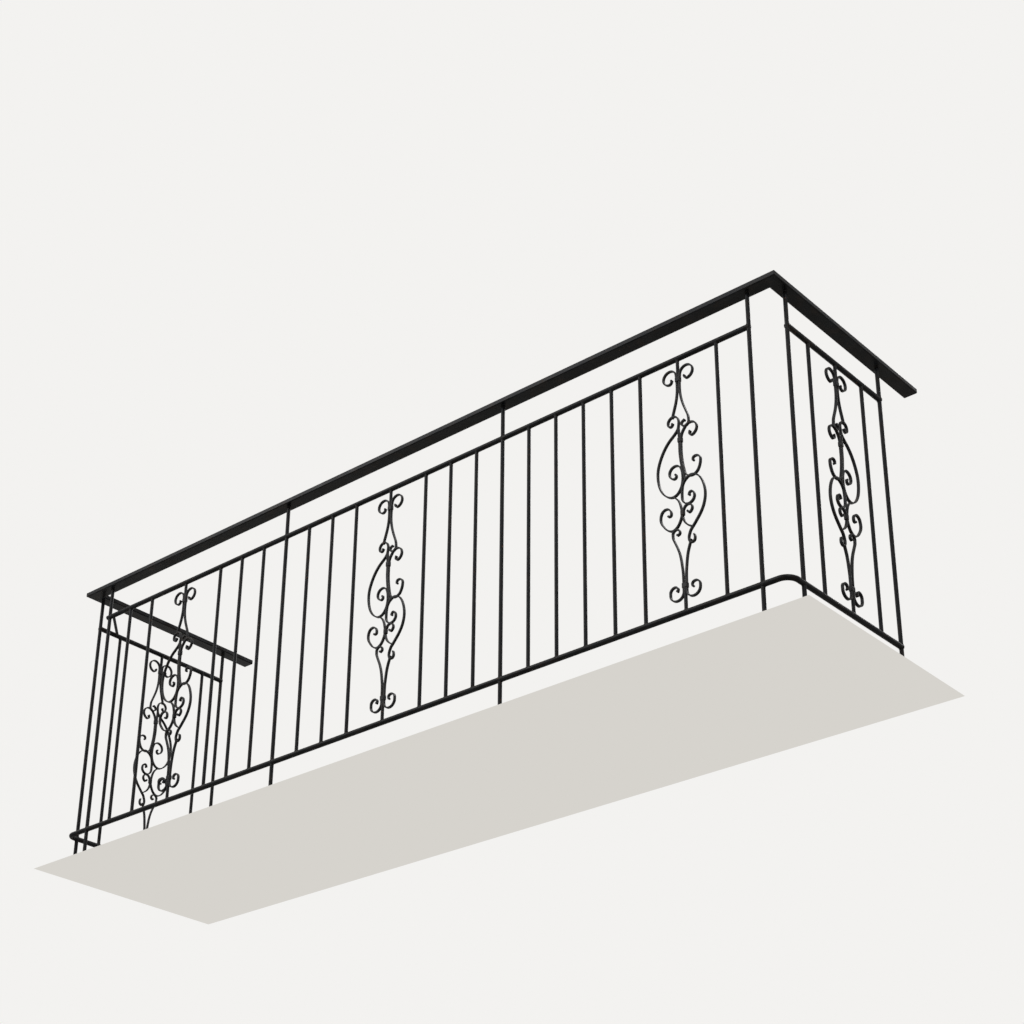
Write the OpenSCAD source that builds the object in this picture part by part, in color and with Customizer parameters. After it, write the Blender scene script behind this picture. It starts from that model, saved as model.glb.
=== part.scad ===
// Iron balcony railing: a front run with a short return at each end.
// Millimetres, +Z up. X runs along the front, -Y is outside, and the returns run along Y.
// The origin is at the middle of the outline, on the floor under the post feet.

/* [Front run] */
// First bay, from post axis to post axis
bay_1 = 879; // [820:1:940]
// Second bay
bay_2 = 910; // [850:1:970]
// Third bay
bay_3 = 868; // [810:1:930]
// Middle of the first scroll panel, from the first post of its bay
scroll_1_at = 397; // [380:1:420]
// Middle of the second scroll panel, from the first post of its bay
scroll_2_at = 460; // [440:1:480]
// Middle of the third scroll panel, from the first post of its bay
scroll_3_at = 632; // [610:1:650]
// Opening left for the first scroll panel, between baluster axes
scroll_1_gap = 343; // [230:1:360]
// Opening left for the second scroll panel
scroll_2_gap = 292; // [230:1:310]
// Opening left for the third scroll panel
scroll_3_gap = 258; // [230:1:280]

/* [Returns] */
// Left return, outside the first front post
left_offset = 96; // [85:1:120]
// Right return, outside the last front post
right_offset = 81; // [75:1:120]
// Front post of the left return, behind the front run
left_front_y = 35; // [32:1:50]
// Rear post of the left return
left_rear_y = 591; // [560:1:630]
// Balusters of the left return, from the post beside them
left_bar_offset = 89; // [70:1:120]
// Front post of the right return
right_front_y = 61; // [58:1:75]
// Rear post of the right return
right_rear_y = 529; // [500:1:600]
// Balusters of the right return, from the post beside them
right_bar_offset = 99; // [70:1:115]
// Where the handrail's returns end, behind the front run
wall_y = 718; // [660:1:800]

/* [Heights] */
// Axis of the bottom rail above the floor
bottom_rail_z = 97; // [60:1:150]
// From the bottom rail's axis to the under-rail's axis
rail_spacing = 778; // [700:1:850]
// From the under-rail's axis to the underside of the handrail
handrail_gap = 109; // [60:1:160]

/* [Bars] */
// Width of the handrail
handrail_w = 44; // [30:1:60]
// Thickness of the handrail
handrail_t = 16; // [8:1:25]
// Rounding along the handrail's long edges
handrail_r = 3; // [1:0.5:3.5]
// Diameter of the two rails
rail_d = 16; // [14:0.5:20]
// Diameter of the posts
post_d = 12; // [9:0.5:12.5]
// Diameter of the balusters
baluster_d = 11; // [8:0.5:12]
// Diameter of the diagonal tie in the left corner
tie_d = 10; // [8:0.5:11]
// Left end of the front under-rail, past the axis of the first post
rail_stub = 11; // [9.5:0.5:16]
// Other rail ends past the axis of the post that they are notched round
rail_lap = 3; // [0:0.5:5]
// Bend of the bottom rail at the left corner, to the bar's axis
left_bend_r = 26; // [20:1:26]
// Bend of the bottom rail at the right corner
right_bend_r = 35; // [20:1:50]
// Where the corner tie meets the front rail, from the first post
tie_front_x = 19; // [18:1:40]
// Where the corner tie meets the left rail, behind the front run
tie_left_y = 111; // [80:1:115]

/* [Scroll work] */
// Thickness of the flat scroll bar
scroll_t = 4.2; // [4:0.1:6]
// Width of the scroll bar, across the panel
scroll_w = 8; // [6:0.5:12]
// Diameter of the pins that hold a scroll panel to the rails
pin_d = 10; // [8:0.5:10]
// Radius of the forged end of a scroll
tip_r = 3.2; // [2.5:0.1:3.5]
// Height of a collar
collar_h = 13; // [8:1:20]
// Collar past the bars that it wraps, on each side
collar_wrap = 1.5; // [1:0.5:4]
// Rounding of a collar's upright edges
collar_r = 1.5; // [0.5:0.5:3]

/* [Hidden] */
$fn = 48;

// Clearance round a bar where it passes through or seats on another
fit = 0.15;
// Scrolls are drawn for rails this far apart, and scaled to the real spacing
drawn_spacing = 805;
scroll_scale = rail_spacing / drawn_spacing;
// Largest turn between two points of a scroll
arc_step = 12;
// Points worked out between two drawn points of a scroll
smooth_steps = 3;

under_rail_z = bottom_rail_z + rail_spacing;
handrail_z = under_rail_z + handrail_gap;
post_x = [0, bay_1, bay_1 + bay_2, bay_1 + bay_2 + bay_3];
scroll_at = [scroll_1_at, scroll_2_at, scroll_3_at];
scroll_gap = [scroll_1_gap, scroll_2_gap, scroll_3_gap];
// Balusters on the left and right of each bay's scroll panel
bar_counts = [[2, 3], [3, 3], [5, 1]];
left_x = -left_offset;
right_x = post_x[3] + right_offset;
middle_x = (left_x + right_x) / 2;
middle_y = (wall_y - handrail_w / 2) / 2;
iron = [0.07, 0.07, 0.075];
iron_scroll = [0.1, 0.1, 0.105];

// Scroll drawing: x from the panel's middle, z above the bottom rail's axis.
// A curl is a chain of arcs, each with a radius and a turn, left turns positive.
stem = [[4.5, 724], [4.5, 700], [6.5, 680], [10.5, 660], [16.5, 640]];
stem_start = [6.5, 752];
top_curl = [[22, -255], [9, -110]];
foot_start = [5, 63];
// Each collar's height in the drawing, and half the width of the bars that it wraps
top_collar = [735, 6.5];
upper_collar = [535, 5];
lower_collar = [302, 3.5];
foot_collar = [80, 7];
foot_curl = [[22, 175], [60, 9], [15, 110], [8, 110]];

module place() {
    translate([-middle_x, -middle_y, 0]) children();
}

// Rectangle round the origin with its corners rounded
module rounded(width, height, r) {
    square([width, height - 2 * r], center = true);
    square([width - 2 * r, height], center = true);
    for (x = [-1, 1], y = [-1, 1])
        translate([x * (width / 2 - r), y * (height / 2 - r)]) circle(r = r);
}

// Handrail bar along X, over the posts, before its mitres are cut
module handrail_bar(length) {
    translate([0, 0, handrail_t / 2]) rotate([90, 0, 90])
        linear_extrude(length) rounded(handrail_w, handrail_t, handrail_r);
}

// Wedge that cuts a mitre: it fills the side of a 45 degree plane
module mitre_cut(turn) {
    size = 2 * handrail_w;
    rotate([0, 0, turn]) translate([0, -size, -handrail_t]) cube([size, 2 * size, 3 * handrail_t]);
}

module handrail_front() {
    start = left_x - handrail_w / 2;
    length = right_x - left_x + handrail_w;
    color(iron) place() translate([0, 0, handrail_z]) difference() {
        translate([start, 0, 0]) handrail_bar(length);
        translate([left_x, 0, 0]) mitre_cut(135);
        translate([right_x, 0, 0]) mitre_cut(45);
    }
}

module handrail_return(x, turn) {
    length = wall_y + handrail_w / 2;
    color(iron) place() translate([x, 0, handrail_z]) difference() {
        rotate([0, 0, 90]) translate([-handrail_w / 2, 0, 0]) handrail_bar(length);
        mitre_cut(turn);
    }
}

// Straight round bar along X between two places on its axis
module round_bar(from, to, d) {
    rotate([0, 90, 0]) translate([0, 0, from]) cylinder(h = to - from, d = d);
}

module post_holes(places) {
    for (x = places)
        translate([x, 0, -rail_d]) cylinder(h = 2 * rail_d, d = post_d + 2 * fit);
}

// Rail along the front, punched for the posts between its ends and notched round one at an end
module front_rail(from, to, z) {
    color(iron) place() translate([0, 0, z]) difference() {
        round_bar(from, to, rail_d);
        post_holes(post_x);
    }
}

// Rail along a return, punched or notched for its two posts in the same way
module return_rail(x, from, to, z, posts) {
    color(iron) place() translate([x, 0, z]) rotate([0, 0, 90]) difference() {
        round_bar(from, to, rail_d);
        post_holes(posts);
    }
}

// Bend of the bottom rail round a front corner
module bottom_bend(x, r, turn) {
    color(iron) place() translate([x, r, bottom_rail_z]) rotate([0, 0, turn])
        rotate_extrude(angle = 90) translate([r, 0]) circle(d = rail_d);
}

module post(x, y) {
    color(iron) place() translate([x, y, 0]) cylinder(h = handrail_z, d = post_d);
}

// Rails along X as they cut the ends of the bars between them
module rail_copes(reach) {
    for (z = [bottom_rail_z, under_rail_z])
        translate([0, 0, z]) round_bar(-reach, reach, rail_d + 2 * fit);
}

module baluster() {
    difference() {
        translate([0, 0, bottom_rail_z]) cylinder(h = rail_spacing, d = baluster_d);
        rail_copes(baluster_d);
    }
}

module front_balusters(places) {
    color(iron) place() for (x = places) translate([x, 0, 0]) baluster();
}

module return_baluster(x, y) {
    color(iron) place() translate([x, y, 0]) rotate([0, 0, 90]) baluster();
}

// Baluster places on the left and on the right of a bay's scroll panel
function left_bars(bay) =
    let (n = bar_counts[bay][0], run = scroll_at[bay] - scroll_gap[bay] / 2)
    [for (i = [1:n]) post_x[bay] + run * i / n];
function right_bars(bay) =
    let (n = bar_counts[bay][1], first = post_x[bay] + scroll_at[bay] + scroll_gap[bay] / 2)
    [for (i = [0:n - 1]) first + (post_x[bay + 1] - first) * i / n];

// Diagonal tie at the height of the under-rails, coped to both
module corner_tie() {
    run = [left_x - tie_front_x, tie_left_y];
    color(iron) place() translate([0, 0, under_rail_z]) difference() {
        translate([tie_front_x, 0, 0]) rotate([0, 0, atan2(run[1], run[0])])
            round_bar(0, norm(run), tie_d);
        round_bar(-2 * rail_d, tie_front_x + 2 * rail_d, rail_d + 2 * fit);
        translate([left_x, 0, 0]) rotate([0, 0, 90])
            round_bar(tie_left_y - 2 * rail_d, tie_left_y + 2 * rail_d, rail_d + 2 * fit);
    }
}

// Geometry of the scrolls
function polar(p, r, a) = [p[0] + r * cos(a), p[1] + r * sin(a)];
function heading(a, b) = atan2(b[1] - a[1], b[0] - a[0]);
function mirrored(path) = [for (p = path) [-p[0], p[1]]];
function reversed(path) = [for (i = [len(path) - 1:-1:0]) path[i]];
function last(path) = path[len(path) - 1];

// Points of one arc that leaves p at heading h, with radius r and turn s
function arc(p, h, r, s) =
    let (side = s > 0 ? 90 : -90, c = polar(p, r, h + side), n = ceil(abs(s) / arc_step))
    [for (i = [1:n]) polar(c, r, h - side + s * i / n)];
function arcs(p, h, chain, i = 0) =
    i == len(chain) ? [] :
    let (one = arc(p, h, chain[i][0], chain[i][1]))
    concat(one, arcs(last(one), h + chain[i][1], chain, i + 1));

// Smooth curve through the drawn points
function blend(a, b, c, d, t) =
    (2 * b + (c - a) * t + (2 * a - 5 * b + 4 * c - d) * t * t
        + (3 * b - a - 3 * c + d) * t * t * t) / 2;
function smooth(path) =
    let (n = len(path) - 1)
    concat([for (i = [0:n - 1], k = [0:smooth_steps - 1])
        blend(path[max(i - 1, 0)], path[i], path[i + 1], path[min(i + 2, n)], k / smooth_steps)],
        [path[n]]);

// Centre line of a scroll: drawn points, with a curl leaving each end
function scroll_line(path, start = [], end = []) =
    let (n = len(path) - 1)
    concat(reversed(arcs(path[0], heading(path[1], path[0]), start)), smooth(path),
        arcs(path[n], heading(path[n - 1], path[n]), end));

// Edge of a bar that follows a centre line
function edge(path, side) =
    let (n = len(path) - 1)
    [for (i = [0:n]) polar(path[i], side, heading(path[max(i - 1, 0)], path[min(i + 1, n)]) + 90)];

// Flat bar on a centre line, with a forged tip at each curled end
module scroll_bar(path, tips = [0, 1]) {
    line = path * scroll_scale;
    polygon(concat(edge(line, scroll_t / 2), reversed(edge(line, -scroll_t / 2))));
    for (t = tips)
        translate(line[t * (len(line) - 1)]) circle(r = tip_r);
}

// Stems with their outward curls at the top of the panel
module top_stems() {
    right = concat([stem_start], stem, [[24, 620], [29.5, 604], [31, 588]]);
    left = concat([stem_start], stem, [[21.5, 624], [23.5, 614]]);
    scroll_bar(scroll_line(right, top_curl, [[12.5, -150], [9, -130]]));
    scroll_bar(mirrored(scroll_line(left, top_curl)), [0]);
}

// Large scroll on the left, curled at both ends
module upper_scroll() {
    path = [
        [-3, 590], [-5.5, 575], [-12, 565], [-22, 556], [-40, 541], [-57, 519], [-70, 493],
        [-78, 467], [-79.5, 440], [-75, 411], [-65, 388], [-50, 371], [-32, 362], [-14, 367],
        [-1, 384], [4, 405], [4, 421]
    ];
    scroll_bar(scroll_line(path, [[30, 40], [17.5, 180], [7, 150]],
        [[60, 25], [20, 155], [21, 70], [7, 150]]));
}

// Scroll down the middle, curled to the right at both ends, and the bar beside it
module middle_scroll() {
    path = [[17, 570], [7, 555], [3, 537], [2.6, 515], [2.6, 495], [4, 475], [7, 453], [12, 428.5]];
    beside = [[-4.5, 577], [-3.5, 555], [-2.6, 535], [-2.6, 515], [-2.6, 495], [-1, 475],
        [1.5, 455], [6, 432], [14, 405]];
    scroll_bar(scroll_line(path, [[22, -215], [8, -150]], [[25, 140], [60, 28], [16, 105], [7, 110]]));
    scroll_bar(scroll_line(beside), []);
}

// Large scroll on the right, curled inside above and into a ring below
module lower_scroll() {
    path = [
        [0, 350], [0.5, 372], [4.5, 392], [15, 405], [31, 412], [47, 408], [60, 396], [70, 376],
        [76, 351], [76, 327], [70, 303], [59, 282], [45, 264], [33, 250], [25, 241], [20, 229]
    ];
    scroll_bar(scroll_line(path, [[26, 50], [19.5, 175], [7, 150]],
        [[28, 42], [9.5, 150], [22, 40]]), [0]);
}

// Scroll low on the left that ends in a small curl beside the middle, and its brace
module left_scroll() {
    path = [[-66, 284], [-52, 266], [-34, 257.5], [-18, 265], [-8, 280], [-2.5, 295], [2, 308], [6, 316]];
    brace = [[-27, 361], [-15, 349], [-8, 335], [-4, 318], [-1.5, 302], [1, 287], [6, 273],
        [16, 260], [31, 250]];
    scroll_bar(scroll_line(path, [[38, -62], [17, -110], [19, -60], [5, -120]], [[14, -215], [5, -120]]));
    scroll_bar(scroll_line(brace), []);
}

// Stems with their outward curls at the foot of the panel
module foot_stems() {
    rise = [[5, 95], [5.5, 120], [7.5, 140], [10, 160], [14, 180], [20.5, 200]];
    left = concat([foot_start], rise, [[28.5, 219], [34, 233], [35, 245]]);
    right = concat([foot_start], rise, [[25, 213]]);
    scroll_bar(mirrored(scroll_line(left, foot_curl, [[12, 190], [6, 100]])));
    scroll_bar(scroll_line(right, foot_curl), [0]);
}

// Collar wrapped round the bars that meet at its height
module collar(at) {
    z = bottom_rail_z + at[0] * scroll_scale - collar_h / 2;
    translate([0, 0, z]) linear_extrude(collar_h)
        rounded(2 * (at[1] + collar_wrap), scroll_w + 2 * collar_wrap, collar_r);
}

// Pins from the rails to the end collars
module pins() {
    low = foot_collar[0] * scroll_scale;
    high = top_collar[0] * scroll_scale;
    difference() {
        translate([0, 0, bottom_rail_z]) {
            cylinder(h = low, d = pin_d);
            translate([0, 0, high]) cylinder(h = rail_spacing - high, d = pin_d);
        }
        rail_copes(pin_d);
    }
}

module scroll_panel() {
    translate([0, 0, bottom_rail_z]) rotate([90, 0, 0]) linear_extrude(scroll_w, center = true) {
        top_stems();
        upper_scroll();
        middle_scroll();
        lower_scroll();
        left_scroll();
        foot_stems();
    }
    for (at = [top_collar, upper_collar, lower_collar, foot_collar])
        collar(at);
    pins();
}

module front_scroll_panel(bay) {
    color(iron_scroll) place() translate([post_x[bay] + scroll_at[bay], 0, 0]) scroll_panel();
}

module return_scroll_panel(x, front_y, rear_y) {
    color(iron_scroll) place() translate([x, (front_y + rear_y) / 2, 0]) rotate([0, 0, -90])
        scroll_panel();
}

handrail_front();
handrail_return(left_x, -45);  // handrail_left
handrail_return(right_x, -135);  // handrail_right
front_rail(-rail_stub, post_x[3] + rail_lap, under_rail_z);  // under_rail_front
return_rail(left_x, left_front_y - rail_lap, left_rear_y + rail_lap, under_rail_z,  // under_rail_left
        [left_front_y, left_rear_y]);
return_rail(right_x, right_front_y - rail_lap, right_rear_y + rail_lap, under_rail_z,  // under_rail_right
        [right_front_y, right_rear_y]);
front_rail(left_x + left_bend_r, right_x - right_bend_r, bottom_rail_z);  // bottom_rail_front
return_rail(left_x, left_bend_r, left_rear_y + rail_lap, bottom_rail_z,  // bottom_rail_left
        [left_front_y, left_rear_y]);
return_rail(right_x, right_bend_r, right_rear_y + rail_lap, bottom_rail_z,  // bottom_rail_right
        [right_front_y, right_rear_y]);
bottom_bend(left_x + left_bend_r, left_bend_r, 180);  // bottom_bend_left
bottom_bend(right_x - right_bend_r, right_bend_r, 270);  // bottom_bend_right
corner_tie();
post(post_x[0], 0);  // front_post_1
post(post_x[1], 0);  // front_post_2
post(post_x[2], 0);  // front_post_3
post(post_x[3], 0);  // front_post_4
post(left_x, left_front_y);  // left_post_front
post(left_x, left_rear_y);  // left_post_rear
post(right_x, right_front_y);  // right_post_front
post(right_x, right_rear_y);  // right_post_rear
front_balusters(left_bars(0));  // balusters_1_left
front_balusters(right_bars(0));  // balusters_1_right
front_balusters(left_bars(1));  // balusters_2_left
front_balusters(right_bars(1));  // balusters_2_right
front_balusters(left_bars(2));  // balusters_3_left
front_balusters(right_bars(2));  // balusters_3_right
return_baluster(left_x, left_front_y + left_bar_offset);  // left_baluster_front
return_baluster(left_x, left_rear_y - left_bar_offset);  // left_baluster_rear
return_baluster(right_x, right_front_y + right_bar_offset);  // right_baluster_front
return_baluster(right_x, right_rear_y - right_bar_offset);  // right_baluster_rear
front_scroll_panel(0);  // scroll_panel_1
front_scroll_panel(1);  // scroll_panel_2
front_scroll_panel(2);  // scroll_panel_3
return_scroll_panel(left_x, left_front_y, left_rear_y);  // scroll_panel_left
return_scroll_panel(right_x, right_front_y, right_rear_y);  // scroll_panel_right
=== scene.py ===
import math
import random
import bpy
import bmesh
from mathutils import Matrix, Vector


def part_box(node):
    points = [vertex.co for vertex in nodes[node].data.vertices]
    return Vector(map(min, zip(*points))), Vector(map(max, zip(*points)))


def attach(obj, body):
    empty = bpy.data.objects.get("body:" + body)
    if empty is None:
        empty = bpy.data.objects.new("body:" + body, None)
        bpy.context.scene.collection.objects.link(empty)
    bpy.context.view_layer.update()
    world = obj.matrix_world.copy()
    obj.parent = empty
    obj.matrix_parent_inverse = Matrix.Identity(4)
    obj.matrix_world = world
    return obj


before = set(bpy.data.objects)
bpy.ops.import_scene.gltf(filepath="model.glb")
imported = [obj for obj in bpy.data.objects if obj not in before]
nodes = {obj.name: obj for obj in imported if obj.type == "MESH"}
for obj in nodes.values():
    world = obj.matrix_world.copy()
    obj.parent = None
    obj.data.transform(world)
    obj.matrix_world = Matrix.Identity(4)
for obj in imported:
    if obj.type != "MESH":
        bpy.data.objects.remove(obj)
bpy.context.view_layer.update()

scene = bpy.context.scene
scene.view_settings.view_transform = "Standard"
mm = 0.001
print("railing loaded:", len(nodes), "iron parts")


def unit(v):
    return Vector(v).normalized()


# camera: below the railing, right of its middle, looking up and to the left
viewpoint = {
    "place": (3.708, -4.033, -2.214),  # metres
    "azimuth": -40.047,   # degrees from straight ahead
    "elevation": 26.376,  # degrees above level
    "roll": -0.067,       # degrees
    "lens": 69.49,        # mm
    "sensor": 36,         # mm
    "shift": (-0.0273, 0.125),  # keeps the posts nearly upright, as in the photograph
}


def addCamera(s):
    data = bpy.data.cameras.new("camera")
    data.lens = s["lens"]
    data.sensor_width = s["sensor"]
    data.shift_x, data.shift_y = s["shift"]
    camera = bpy.data.objects.new("camera", data)
    scene.collection.objects.link(camera)
    az = math.radians(s["azimuth"])
    el = math.radians(s["elevation"])
    ahead = Vector((math.sin(az) * math.cos(el), math.cos(az) * math.cos(el), math.sin(el)))
    right = unit(ahead.cross(Vector((0, 0, 1))))
    level = Matrix((right, right.cross(ahead), -ahead)).transposed()
    roll = Matrix.Rotation(math.radians(-s["roll"]), 3, "Z")
    camera.matrix_world = Matrix.Translation(s["place"]) @ (level @ roll).to_4x4()
    scene.camera = camera


addCamera(viewpoint)
print("camera set at", viewpoint["place"])


def linear(code):
    # sRGB hex to the linear values that shaders take
    parts = [int(code[i:i + 2], 16) / 255 for i in (1, 3, 5)]
    return [p / 12.92 if p <= 0.04045 else ((p + 0.055) / 1.055) ** 2.4 for p in parts] + [1.0]


def addNode(tree, kind, settings=None, links=None, out=0):
    # Adds one shader node and gives one of its outputs.
    # Settings and links go by the name or number of a socket, and settings by property too.
    node = tree.nodes.new("ShaderNode" + kind)
    for key, value in (settings or {}).items():
        if isinstance(key, int) or key in node.inputs:
            node.inputs[key].default_value = value
        else:
            setattr(node, key, value)
    for key, source in (links or {}).items():
        tree.links.new(source, node.inputs[key])
    return node.outputs[out] if node.outputs else None


def newMaterial(name):
    material = bpy.data.materials.new(name)
    material.use_nodes = True
    material.node_tree.nodes.clear()
    return material, material.node_tree


# stage: a pale floor at the feet, pale air, and soft lamps
studio = {
    "floor": "#c9c6c0",
    "floorSize": 60.0,       # metres
    "floorDrop": 0.5,        # mm under the feet
    "fade": (2.0, 5.5),      # metres from the railing, where the floor turns into the air
    "ledge": "#d6d3cd",      # the floor as it shows from below
    "ledgeDrop": 0.8,        # mm under the feet
    "ledgeFrom": (-1.53, -0.388),  # metres, corner beyond the left return
    "ledgeTo": (1.491, 0.37),      # metres, corner beyond the right return
    "air": "#f3f2f0",
    "airLight": 0.33,        # share of the air that gives light; the eye sees all of it
    "aim": (0, 0, 0.5),      # metres, the middle of the railing, where the lamps look
}
lamps = {
    # watts, metres, and metres across and up
    "key lamp": {"power": 420, "place": (-2.4, -6.0, 4.2), "size": (8.5, 4.5)},
    "fill lamp": {"power": 85, "place": (4.6, -2.6, 3.2), "size": (3.0, 3.0)},
    "back lamp": {"power": 140, "place": (0.4, 4.8, 4.2), "size": (3.0, 3.0)},
}


def shownRays(tree):
    # 1 for what the eye, metal and glass see, 0 for what gives light
    rays = addNode(tree, "LightPath").node.outputs
    seen = rays["Is Camera Ray"]
    for other in ("Is Glossy Ray", "Is Transmission Ray"):
        seen = addNode(tree, "Math", {"operation": "MAXIMUM"}, {0: seen, 1: rays[other]})
    return seen


def stageSheet(name, low, high, drop, material):
    # flat sheet of the stage from corner to corner
    bm = bmesh.new()
    bmesh.ops.create_grid(bm, x_segments=1, y_segments=1, size=0.5)
    bmesh.ops.scale(bm, verts=bm.verts, vec=(high[0] - low[0], high[1] - low[1], 1))
    middle = ((low[0] + high[0]) / 2, (low[1] + high[1]) / 2, -drop * mm)
    bmesh.ops.translate(bm, verts=bm.verts, vec=middle)
    mesh = bpy.data.meshes.new(name)
    bm.to_mesh(mesh)
    bm.free()
    mesh.materials.append(material)
    sheet = bpy.data.objects.new(name, mesh)
    scene.collection.objects.link(sheet)


def addFloor(s):
    # Matt emulsion paint, pale and without a shine. The camera looks up from below the floor,
    # so the wide floor shows from above only, and fades into the air far from the railing.
    material, tree = newMaterial("matt emulsion on a studio floor")
    place = addNode(tree, "TexCoord", out="Object")
    far = addNode(tree, "VectorMath", {"operation": "LENGTH"}, {0: place}, "Value")
    near, beyond = s["fade"]
    fade = addNode(tree, "MapRange", {"interpolation_type": "SMOOTHSTEP",
                                      "From Min": near, "From Max": beyond}, {"Value": far})
    faded = addNode(tree, "Math", {"operation": "MULTIPLY"}, {0: fade, 1: shownRays(tree)})
    matt = addNode(tree, "BsdfDiffuse", {"Color": linear(s["floor"])})
    air = addNode(tree, "Emission", {"Color": linear(s["air"])})
    top = addNode(tree, "MixShader", {}, {0: faded, 1: matt, 2: air})
    below = addNode(tree, "NewGeometry", out="Backfacing")
    clear = addNode(tree, "BsdfTransparent")
    both = addNode(tree, "MixShader", {}, {0: below, 1: top, 2: clear})
    addNode(tree, "OutputMaterial", {}, {"Surface": both})
    half = s["floorSize"] / 2
    stageSheet("floor", (-half, -half), (half, half), s["floorDrop"], material)


def addLedge(s):
    # the same paint on the part of the floor that shows from below
    material, tree = newMaterial("matt emulsion on the floor's underside")
    matt = addNode(tree, "BsdfDiffuse", {"Color": linear(s["floor"])})
    pale = addNode(tree, "Emission", {"Color": linear(s["ledge"])})
    both = addNode(tree, "MixShader", {}, {0: shownRays(tree), 1: matt, 2: pale})
    addNode(tree, "OutputMaterial", {}, {"Surface": both})
    stageSheet("ledge", s["ledgeFrom"], s["ledgeTo"], s["ledgeDrop"], material)


def addAir(s):
    world = bpy.data.worlds.new("studio air")
    scene.world = world
    world.use_nodes = True
    tree = world.node_tree
    tree.nodes.clear()
    light = addNode(tree, "Background", {"Color": linear(s["air"]), "Strength": s["airLight"]})
    shown = addNode(tree, "Background", {"Color": linear(s["air"])})
    both = addNode(tree, "MixShader", {}, {0: shownRays(tree), 1: light, 2: shown})
    addNode(tree, "OutputWorld", {}, {"Surface": both})


def addLamp(name, s, aim):
    data = bpy.data.lights.new(name, "AREA")
    data.energy = s["power"]
    data.shape = "ELLIPSE"
    data.size, data.size_y = s["size"]
    lamp = bpy.data.objects.new(name, data)
    scene.collection.objects.link(lamp)
    lamp.location = s["place"]
    way = Vector(aim) - Vector(s["place"])
    lamp.rotation_euler = way.to_track_quat("-Z", "Y").to_euler()


addFloor(studio)
addLedge(studio)
addAir(studio)
for name, lamp in lamps.items():
    addLamp(name, lamp, studio["aim"])
print("stage:", len(lamps), "lamps, floor and air")


# Black alkyd enamel, brushed by hand over mill-finish iron. The eye sees a satin black with
# bristle marks and sags along the bar, patches gone chalky outdoors, dust on what faces up,
# dirt in the joints, edges rubbed thin and a few chips gone to rust.
enamel = {
    "film": "#08090b",       # fresh coat
    # layers over it, and how strongly each shows
    "chalk": "#1a1c1f",      # coat that has faded outdoors
    "chalkAmount": 1.0,
    "oxide": "#1e1814",      # thin coat with the iron's oxide under it
    "oxideAmount": 0.8,
    "grime": "#2e2721",      # what gathers in a joint
    "grimeAmount": 0.7,
    "dust": "#857f74",       # on what faces up
    "dustAmount": 0.25,
    "bare": "#59534c",       # coat rubbed thin along an edge
    "bareAmount": 0.3,
    "rust": "#5f3d28",       # in a chip
    "rustAmount": 0.6,
    # mm across and along the bar
    "patch": (70, 70),       # chalky patch
    "tone": (32, 32),        # patch of oxide, dust or wear
    "region": (154, 154),    # stretch that chips keep to
    "chip": (6, 6),          # real ones are 2 mm and too fine to show
    "stroke": (2.2, 70),     # bristle mark; real ones are 1 mm across and too fine to show
    "sag": (11, 60),         # place where a thick coat has settled
    # mm
    "facet": 9,              # hammer mark
    "edge": 1.0,             # how far an edge's rounding shows
    "joint": 7,              # how far from a joint its dirt reaches
    "relief": {"stroke": 0.10, "sag": 0.35, "rust": -0.15},  # height of each mark
    # the coat's shine
    "ior": 1.5,              # alkyd resin
    "roughness": (0.30, 0.55),  # of the fresh and of the chalky coat
    "turnsRough": (0.3, 0.7),   # where in the patch noise one becomes the other
    "specular": 0.085,       # low, because the pale air here mirrors brighter than outdoors
}
# Noise behind the marks: its detail, and a shift that keeps each apart from the others.
patterns = {
    "patch": (4, 0.0),
    "tone": (3, 31.0),
    "chip": (2, 77.0),
    "region": (1, 53.0),
    "stroke": (3, 0.0),
    "sag": (3, 2.9),
}
# What brings each layer out: marks on the surface, each with where the layer starts and is
# full, and the share of it that shows before it starts.
cues = {
    "chalk": [("patch", 0.42, 0.66, 0.0), ("stroke", 0.3, 0.7, 0.5)],
    "oxide": [("tone", 0.5, 0.72, 0.0)],
    "grime": [("open", 0.8, 0.35, 0.0)],
    "dust": [("up", 0.25, 0.95, 0.0), ("tone", 0.3, 0.6, 0.45)],
    "bare": [("flat", 0.985, 0.86, 0.0), ("tone", 0.42, 0.62, 0.0)],
    "rust": [("chip", 0.68, 0.71, 0.0), ("region", 0.48, 0.58, 0.0)],
}


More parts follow.
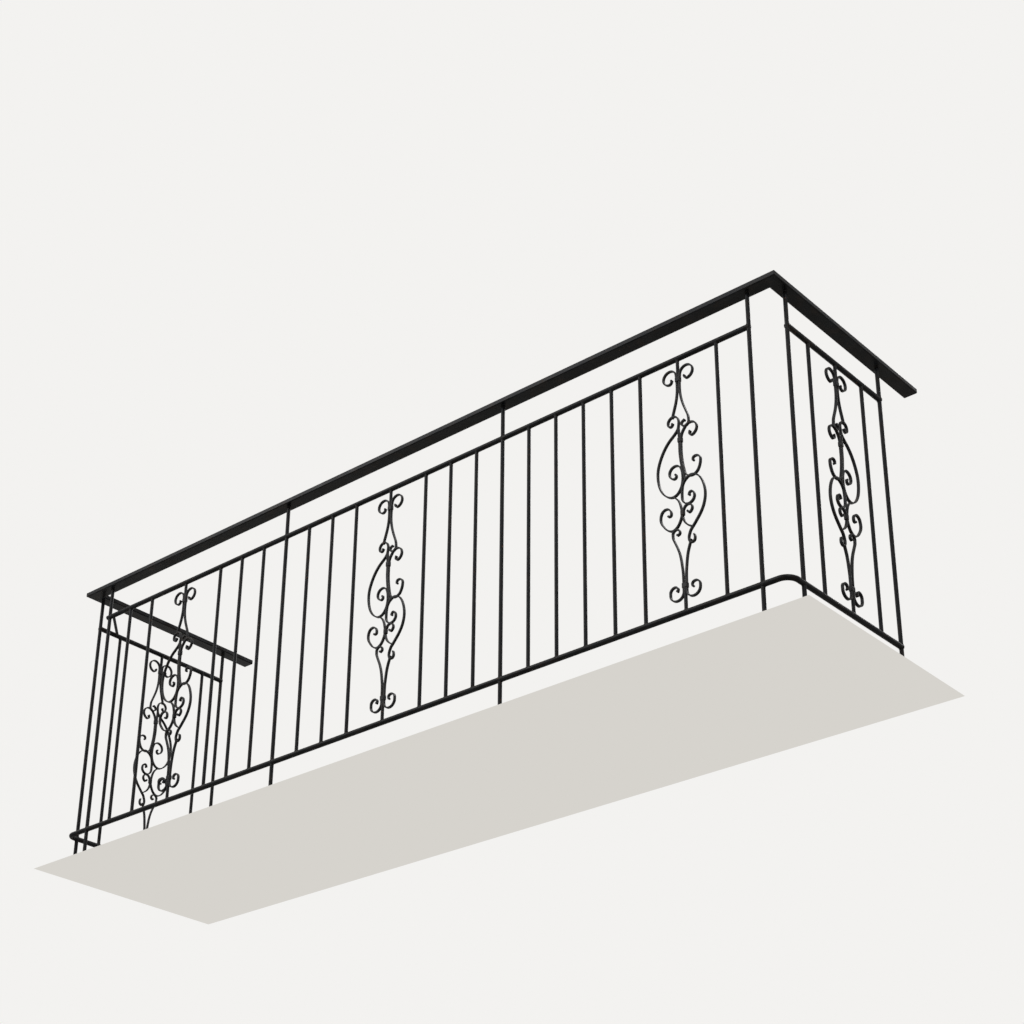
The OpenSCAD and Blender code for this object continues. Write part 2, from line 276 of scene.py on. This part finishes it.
def enamelledIron(name, look, along=None):
    # along is the axis that the bar runs on, if it runs on one
    material, tree = newMaterial(name)
    place = addNode(tree, "TexCoord", out="Object")
    facing = addNode(tree, "NewGeometry").node.outputs
    marks = {}

    for mark, (detail, shift) in patterns.items():
        width, length = look[mark]
        scale = [1 / (width * mm)] * 3
        if along is not None:
            scale[along] = 1 / (length * mm)
        drawn = addNode(tree, "Mapping", {"Scale": scale, "Location": [shift] * 3},
                        {"Vector": place})
        marks[mark] = addNode(tree, "TexNoise",
                              {"Scale": 1.0, "Detail": detail, "Roughness": 0.6},
                              {"Vector": drawn}, "Fac")
    if "facet" in look["relief"]:
        marks["facet"] = addNode(tree, "TexVoronoi",
                                 {"feature": "SMOOTH_F1", "Smoothness": 0.35,
                                  "Scale": 1 / (look["facet"] * mm)},
                                 {"Vector": place}, "Distance")

    # what the shape itself gives: rounded edges, flat faces, what looks up, and open places
    normal = addNode(tree, "Bevel", {"samples": 6, "Radius": look["edge"] * mm})
    marks["flat"] = addNode(tree, "VectorMath", {"operation": "DOT_PRODUCT"},
                            {0: normal, 1: facing["True Normal"]}, "Value")
    marks["up"] = addNode(tree, "SeparateXYZ", {}, {0: facing["Normal"]}, "Z")
    marks["open"] = addNode(tree, "AmbientOcclusion",
                            {"samples": 4, "Distance": look["joint"] * mm}, out="AO")

    # Layers over the film, each as far as its cues say.
    # A colour Mix takes its colours in sockets 6 and 7 and gives the result in output 2.
    shown = {}
    colour = None
    for layer, parts in cues.items():
        for mark, start, full, least in parts:
            share = addNode(tree, "MapRange",
                            {"From Min": start, "From Max": full, "To Min": least},
                            {"Value": marks[mark]})
            if layer in marks:
                share = addNode(tree, "Math", {"operation": "MULTIPLY"},
                                {0: marks[layer], 1: share})
            marks[layer] = share
        shown[layer] = addNode(tree, "Math",
                               {"operation": "MULTIPLY", 1: look[layer + "Amount"]},
                               {0: marks[layer]})
        colours = {"data_type": "RGBA", 7: linear(look[layer])}
        links = {0: shown[layer]}
        if colour is None:
            colours[6] = linear(look["film"])
        else:
            links[6] = colour
        colour = addNode(tree, "Mix", colours, links, 2)

    smooth, chalky = look["roughness"]
    start, full = look["turnsRough"]
    gloss = addNode(tree, "MapRange",
                    {"From Min": start, "From Max": full, "To Min": smooth, "To Max": chalky},
                    {"Value": marks["patch"]})
    rough = addNode(tree, "Math", {"operation": "ADD", "use_clamp": True},
                    {0: gloss, 1: shown["dust"]})
    for mark, height in look["relief"].items():
        normal = addNode(tree, "Bump", {"Strength": 1.0, "Distance": height * mm},
                         {"Height": marks[mark], "Normal": normal})
    shader = addNode(tree, "BsdfPrincipled",
                     {"IOR": look["ior"], "Specular IOR Level": look["specular"]},
                     {"Base Color": colour, "Roughness": rough, "Normal": normal})
    addNode(tree, "OutputMaterial", {}, {"Surface": shader})
    return material


# the handrail's coat is polished by hands and rubbed through along its edges
handled = dict(enamel, roughness=(0.22, 0.48), specular=0.075, dustAmount=0.14,
               bareAmount=0.6, edge=1.4)
# the scrolls' bar keeps the hammer's facets under a thinner, more faded coat
forged = dict(enamel, chalk="#26282b", patch=(45, 45), tone=(20, 20), region=(99, 99),
              bareAmount=0.6, relief={"stroke": 0.10, "sag": 0.15, "rust": -0.15, "facet": 0.5})
# the welds' coat is lumpy, and rusts first
welded = dict(enamel, patch=(20, 20), tone=(9, 9), region=(44, 44), chip=(4, 4), facet=2.5,
              rustAmount=0.8, bareAmount=0.0,
              relief={"stroke": 0.10, "sag": 0.10, "rust": -0.15, "facet": 0.5})
finishes = {
    "handX": enamelledIron("hand-worn enamel on the flat iron of the front", handled, 0),
    "handY": enamelledIron("hand-worn enamel on the flat iron of a return", handled, 1),
    "barX": enamelledIron("brushed enamel on rolled iron bar of the front", enamel, 0),
    "barY": enamelledIron("brushed enamel on rolled iron bar of a return", enamel, 1),
    "upright": enamelledIron("brushed enamel on upright rolled iron bar", enamel, 2),
    "forged": enamelledIron("brushed enamel on forged iron scrolls", forged),
    "weld": enamelledIron("brushed enamel over hand-laid welds", welded),
}


def finishOf(name):
    if "scroll" in name:
        return "forged"
    if "post" in name or "baluster" in name:
        return "upright"
    run = "X" if name.endswith("front") or name == "corner_tie" else "Y"
    return ("hand" if "handrail" in name else "bar") + run


for name, node in nodes.items():
    for slot in node.material_slots:
        slot.material = finishes[finishOf(name)]
print("enamel laid on", len(nodes), "parts")


# weld beads where a bar meets a rail or the handrail
bead = {
    "radius": 1.3,       # mm
    "proud": 0.25,       # mm, how far the bead's middle stands out of the bar
    "lumps": 0.22,       # share that its radius changes by on the way round
    "waves": (3, 2),     # waves round the bar that the lumps come from
    "round": 8,          # points round the bead itself
    "steps": 20,         # round a bar
    "loopSteps": 32,     # round a rail's end
    "square": 6,         # how square a loop turns its corners, where 2 is an ellipse
    "probe": 0.02,       # radians, step that finds the way a loop runs
    "wrap": 0.96,        # share of a rail's radius that a ring reaches down to
    "endSlice": 4,       # mm of a bar's end that show where its middle is
    "apart": 20,         # mm, ends further apart belong to two bars
    "seed": 11,
}
random.seed(bead["seed"])


def beadRing(bm, middle, steps):
    # a round bead about local z; gives each point with its turn, its way out and its rise
    before = set(bm.verts)
    made = bmesh.ops.create_circle(bm, segments=bead["round"], radius=bead["radius"] * mm)["verts"]
    bmesh.ops.rotate(bm, verts=made, matrix=Matrix.Rotation(math.pi / 2, 3, "X"))
    bmesh.ops.translate(bm, verts=made, vec=(middle, 0, 0))
    edges = list(dict.fromkeys(e for v in made for e in v.link_edges))
    bmesh.ops.spin(bm, geom=made + edges, axis=(0, 0, 1), cent=(0, 0, 0), angle=2 * math.pi,
                   steps=steps, use_merge=True, use_duplicate=False)
    phase = random.uniform(0, 2 * math.pi)
    quick, slow = bead["waves"]
    points = []
    for v in bm.verts:
        if v in before:
            continue
        turn = math.atan2(v.co.y, v.co.x)
        wave = math.sin(quick * turn + phase) * math.cos(slow * turn - phase)
        swell = 1 + bead["lumps"] * wave
        out = math.hypot(v.co.x, v.co.y) - middle
        points.append((v, turn, out * swell, v.co.z * swell))
    return points


def weldRing(bm, matrix, barRadius, railRadius):
    # A ring round a bar whose end looks along local z, at a rail along local x.
    # railRadius 0 is a flat face.
    middle = barRadius + bead["proud"] * mm
    points = beadRing(bm, middle, bead["steps"])
    for v, turn, out, rise in points:
        r = middle + out
        if railRadius:
            side = min(abs(r * math.sin(turn)), railRadius * bead["wrap"])
            rise -= math.sqrt(railRadius ** 2 - side ** 2)
        v.co = (r * math.cos(turn), r * math.sin(turn), rise)
    bmesh.ops.transform(bm, matrix=matrix, verts=[p[0] for p in points])


def weldLoop(bm, matrix, barRadius, railRadius, lap):
    # A loop on a post along local z, round the end of a rail that is notched for the post.
    # The rail comes from local -x and ends lap past the post's axis.
    widest = math.acos(-lap / barRadius)  # how far round the post the notch goes
    proud = bead["proud"] * mm
    power = bead["square"]

    def notchEdge(turn):
        across, upright = math.cos(turn), math.sin(turn)
        even = (abs(across) ** power + abs(upright) ** power) ** (1 / power)
        a = widest * across / even
        tall = math.sqrt(railRadius ** 2 - (barRadius * math.sin(a)) ** 2)
        return Vector((-barRadius * math.cos(a), barRadius * math.sin(a), tall * upright / even))

    points = beadRing(bm, barRadius + proud, bead["loopSteps"])
    for v, turn, out, rise in points:
        place = notchEdge(turn)
        away = unit((place.x, place.y, 0))
        run = notchEdge(turn + bead["probe"]) - notchEdge(turn - bead["probe"])
        v.co = place + away * (proud + out) + unit(run).cross(away) * rise
    bmesh.ops.transform(bm, matrix=matrix, verts=[p[0] for p in points])


def endPlaces(node, top):
    # middle and radius of each bar end at the top or foot of a part
    low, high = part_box(node)
    level = high.z if top else low.z
    ends = [v.co for v in nodes[node].data.vertices
            if abs(v.co.z - level) < bead["endSlice"] * mm]
    apart = bead["apart"] * mm
    groups = []
    for p in ends:
        for g in groups:
            if abs(p.x - g[0].x) < apart and abs(p.y - g[0].y) < apart:
                g.append(p)
                break
        else:
            groups.append([p])
    places = []
    for g in groups:
        left, right = min(p.x for p in g), max(p.x for p in g)
        near, far = min(p.y for p in g), max(p.y for p in g)
        places.append(((left + right) / 2, (near + far) / 2, (right - left) / 2))
    return places


def railOf(node):
    # height of a rail's axis, and its radius
    low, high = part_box(node)
    return (low.z + high.z) / 2, (high.z - low.z) / 2


def notchOf(rail, axis, middle, barRadius):
    # the end of a rail that stops at a post: which way it looks, and how far it laps the post
    low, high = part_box(rail)
    for way, lap in ((1, high[axis] - middle), (-1, middle - low[axis])):
        if lap < barRadius:
            return way, lap
    return None


def jointMatrix(place, axis, ahead, rises):
    # local x runs along the rail, local z up or down the bar
    along = Vector((0, 0, 0))
    along[axis] = ahead
    up = Vector((0, 0, 1 if rises else -1))
    turned = Matrix((along, up.cross(along), up)).transposed()
    return Matrix.Translation(place) @ turned.to_4x4()


# the railing's three sides: the axis that each runs on, and the parts that are welded there
runs = {
    "front": {"axis": 0, "rails": ("under_rail_front", "bottom_rail_front"),
              "posts": ["front_post_%d" % i for i in (1, 2, 3, 4)],
              "bars": ["balusters_%d_%s" % (b, s) for b in (1, 2, 3) for s in ("left", "right")]
              + ["scroll_panel_%d" % b for b in (1, 2, 3)]},
    "left": {"axis": 1, "rails": ("under_rail_left", "bottom_rail_left"),
             "posts": ["left_post_front", "left_post_rear"],
             "bars": ["left_baluster_front", "left_baluster_rear", "scroll_panel_left"]},
    "right": {"axis": 1, "rails": ("under_rail_right", "bottom_rail_right"),
              "posts": ["right_post_front", "right_post_rear"],
              "bars": ["right_baluster_front", "right_baluster_rear", "scroll_panel_right"]},
}


def weldsOf(side, s):
    bm = bmesh.new()
    axis = s["axis"]
    under, bottom = [railOf(r) for r in s["rails"]]
    for bar in s["bars"]:
        for top, (z, railRadius) in ((True, under), (False, bottom)):
            for x, y, r in endPlaces(bar, top):
                weldRing(bm, jointMatrix((x, y, z), axis, 1, top), r, railRadius)
    for post in s["posts"]:
        x, y, r = endPlaces(post, False)[0]
        for rail in s["rails"]:
            z, railRadius = railOf(rail)
            notch = notchOf(rail, axis, (x, y)[axis], r)
            if notch:
                way, lap = notch
                weldLoop(bm, jointMatrix((x, y, z), axis, way, True), r, railRadius, lap)
            else:
                for rises in (True, False):
                    weldRing(bm, jointMatrix((x, y, z), axis, 1, rises), r, railRadius)
        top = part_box(post)[1].z
        weldRing(bm, jointMatrix((x, y, top), axis, 1, True), r, 0)
    bmesh.ops.recalc_face_normals(bm, faces=bm.faces)
    for f in bm.faces:
        f.smooth = True

    # a spin makes its faces in any order, so they are sorted by their first and last points
    bm.verts.index_update()
    count = len(bm.verts)

    def faceOrder(f):
        points = [v.index for v in f.verts]
        return min(points) * count + max(points)

    bm.faces.sort(key=faceOrder)
    mesh = bpy.data.meshes.new("weld_beads_" + side)
    bm.to_mesh(mesh)
    bm.free()
    mesh.materials.append(finishes["weld"])
    piece = bpy.data.objects.new("weld_beads_" + side, mesh)
    scene.collection.objects.link(piece)
    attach(piece, "root")
    return len(mesh.polygons)


for side, s in runs.items():
    print("weld beads", side + ":", weldsOf(side, s), "faces")
